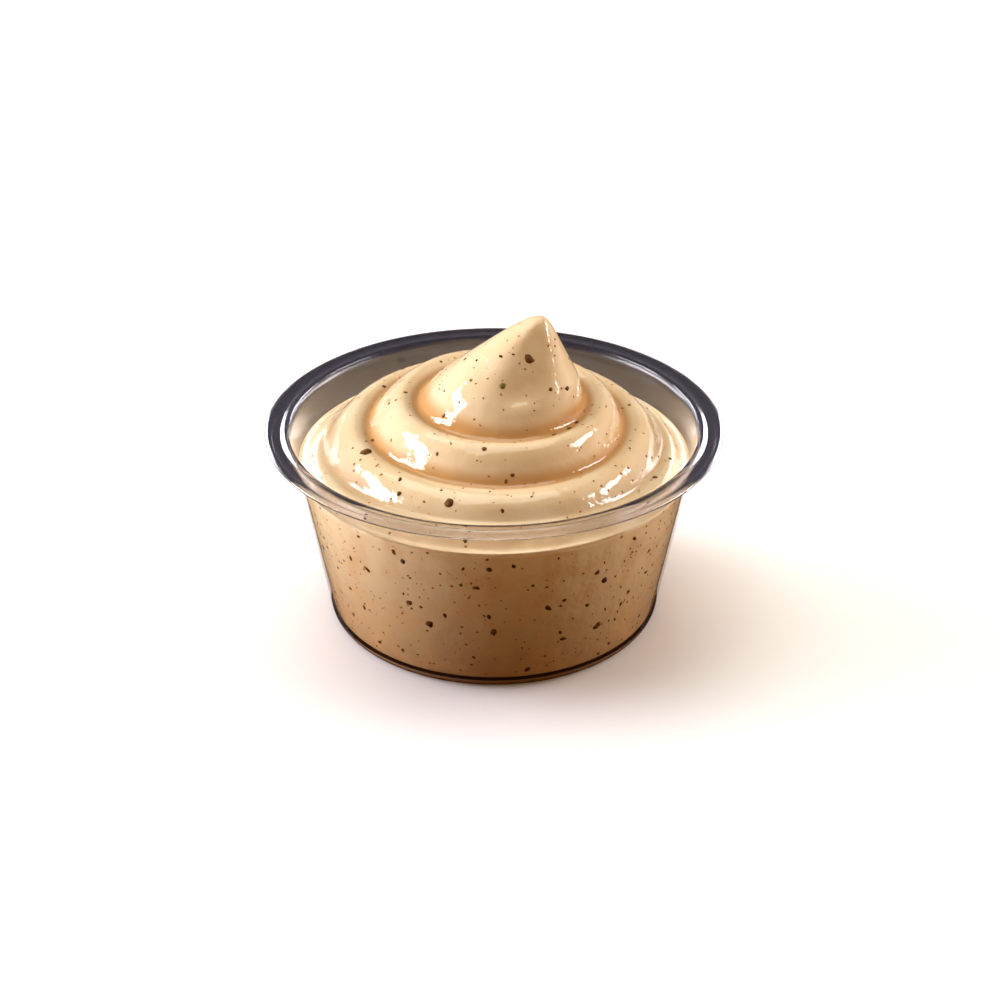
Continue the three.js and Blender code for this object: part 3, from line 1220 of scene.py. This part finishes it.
@dataclass(frozen=True)
class Studio:
    """A plain pale floor, soft lights and the camera."""

    floor_radius: float = 3.0
    floor_drop: float = 0.02
    floor_steps: int = 64
    floor_grain: Grain = Grain(30, 2)
    floor_colour: tuple[int, int, int] = (248, 250, 254)
    floor_paler: tuple[int, int, int] = (250, 252, 255)
    floor_mirrored: tuple[float, float, float, float] = (0.02, 0.017, 0.022, 1)
    lens: float = 63.64
    sensor: float = 36.0
    elevation: float = 29.4
    distance: float = 0.2612
    aim: tuple[float, float, float] = (0.0, 0.0, 0.018)
    shift: tuple[float, float] = (0.006, -0.0096)
    boxes: tuple[Softbox, ...] = (
        Softbox("left_window", (-0.38, 0.06, 0.27), FRONT_WINDOW, 1.5, COOL_PINK, lights=False),
        Softbox("right_window", (0.38, 0.06, 0.27), FRONT_WINDOW, 1.3, COOL_PINK, lights=False),
        Softbox(
            "back_left_window",
            (-0.35, 0.45, 0.25),
            BACK_WINDOW,
            2.6,
            COOL_BLUE,
            lights=False,
            reach=Reach.CLEAR_CUP,
        ),
        Softbox(
            "back_right_window",
            (0.35, 0.45, 0.25),
            BACK_WINDOW,
            2.8,
            COOL_BLUE,
            lights=False,
            reach=Reach.CLEAR_CUP,
        ),
        Softbox(
            "overhead", (-0.06, 0.16, 0.66), CEILING, 3.8, WARM_WHITE, reach=Reach.FOOD_AND_FLOOR
        ),
    )
    room_colour: tuple[float, float, float, float] = (0.006, 0.005, 0.006, 1)
    room_mirrored: tuple[float, float, float, float] = (0.26, 0.23, 0.3, 1)
    room_seen: tuple[float, float, float, float] = (0.9, 0.9, 0.9, 1)
    mirrored_share: float = 0.9
    glows: tuple[Glow, ...] = (
        Glow((-1.0, 0.2, 0.05), 12, (24.0, 23.0, 24.5)),
        Glow((1.0, 0.35, 0.08), 12, (14.0, 12.0, 11.0)),
        Glow((0.0, -1.0, -0.2), 2, (1.1, 0.52, 0.07)),
    )

    def floor(self) -> bpy.types.Object:
        """Lay the floor, pale to the eye and dark in reflections."""
        section = np.array([[self.floor_radius / MM, -self.floor_drop]])
        points = turned(section, all_round(self.floor_steps))[0]
        floor = make_piece("floor", points, [tuple(range(self.floor_steps))])
        shader = Shader("pale_floor")
        tone = shader.ramp(
            shader.noise(self.floor_grain),
            [(0.4, linear(*self.floor_colour)), (0.6, linear(*self.floor_paler))],
        )
        shader.link(tone, shader.surface.inputs["Base Color"])
        shader.set(Roughness=0.9, Specular_IOR_Level=0.0)
        dark = shader.add("ShaderNodeBsdfDiffuse")
        dark.inputs["Color"].default_value = self.floor_mirrored
        path = shader.add("ShaderNodeLightPath")
        mix = shader.add("ShaderNodeMixShader")
        shader.link(path.outputs["Is Camera Ray"], mix.inputs["Fac"])
        shader.link(dark.outputs["BSDF"], mix.inputs[1])
        shader.link(shader.surface.outputs["BSDF"], mix.inputs[2])
        shader.link(mix.outputs["Shader"], shader.output.inputs["Surface"])
        floor.data.materials.append(shader.material)
        return floor

    def world(self) -> None:
        """Light the room by its glows, pale to the eye and dimmer in reflections."""
        world = bpy.data.worlds.new("room")
        bpy.context.scene.world = world
        world.use_nodes = True
        room = Nodes(world.node_tree)
        place = room.add("ShaderNodeTexCoord").outputs["Generated"]
        path = room.add("ShaderNodeLightPath").outputs
        dim = room.add("ShaderNodeRGB")
        dim.outputs["Color"].default_value = self.room_colour
        light = dim.outputs["Color"]
        for glow in self.glows:
            light = glow.added(room, place, light)
        glossy = room.math("MULTIPLY", path["Is Glossy Ray"], self.mirrored_share)
        mirrored = room.math("MULTIPLY", glossy, path["Is Reflection Ray"])
        light = room.laid(light, self.room_mirrored, mirrored)
        light = room.laid(light, self.room_seen, path["Is Camera Ray"])
        room.link(light, room.tree.nodes["Background"].inputs["Color"])

    def camera(self) -> None:
        """Set the camera where the photograph was taken from."""
        data = bpy.data.cameras.new("camera")
        data.lens = self.lens
        data.sensor_width = self.sensor
        data.clip_start = 0.01
        data.shift_x, data.shift_y = self.shift
        camera = bpy.data.objects.new("camera", data)
        angle = math.radians(self.elevation)
        away = Vector((0, -math.cos(angle), math.sin(angle))) * self.distance
        camera.location = Vector(self.aim) + away
        camera.rotation_euler = (math.pi / 2 - angle, 0, 0)
        bpy.context.scene.collection.objects.link(camera)
        bpy.context.scene.camera = camera

    def build(self, clear_cup: bpy.types.Object, food: list[bpy.types.Object]) -> None:
        """Set up the whole studio.

        Args:
            clear_cup: The clear cup.
            food: The mayonnaise and its flecks.
        """
        taken_in = {
            Reach.CLEAR_CUP: [clear_cup],
            Reach.FOOD_AND_FLOOR: [*food, self.floor()],
        }
        self.world()
        lit = {}
        for reach, objects in taken_in.items():
            lit[reach] = bpy.data.collections.new(reach.value)
            for taken in objects:
                lit[reach].objects.link(taken)
        for box in self.boxes:
            box.build(Vector(self.aim), lit)
        self.camera()
        bpy.context.scene.view_settings.view_transform = "Standard"


def main() -> None:
    """Build the filled cup and the studio."""
    logging.basicConfig(level=logging.INFO, format="%(name)s: %(message)s")
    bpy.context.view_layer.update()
    cup = PortionCup()
    swirl = Swirl(cup)
    dark_herb = FleckFinish(FleckKind.DARK_HERB, dark=(70, 40, 10), light=(118, 74, 24))
    green_herb = FleckFinish(FleckKind.GREEN_HERB, dark=(76, 76, 22), light=(122, 112, 42))
    spice = FleckFinish(FleckKind.SPICE, dark=(140, 80, 26), light=(188, 120, 50))
    flecks = (
        Flecks(
            swirl,
            dark_herb,
            on_swirl=70,
            on_wall=260,
            smallest=0.24,
            largest=1.1,
            seed=11,
            chosen_on_swirl=DARK_ON_SWIRL,
            chosen_on_wall=DARK_ON_WALL,
        ),
        Flecks(
            swirl,
            green_herb,
            on_swirl=40,
            on_wall=60,
            smallest=0.22,
            largest=0.7,
            seed=23,
            chosen_on_swirl=GREEN_ON_SWIRL,
        ),
        Flecks(swirl, spice, on_swirl=360, on_wall=620, smallest=0.2, largest=0.55, seed=37),
    )
    pieces = [part.build() for part in (cup, Filling(swirl), *flecks)]
    for piece in pieces:
        log.info("%s: %d faces", piece.name, len(piece.data.polygons))
    Studio().build(pieces[0], pieces[1:])


if __name__ == "__main__":
    main()
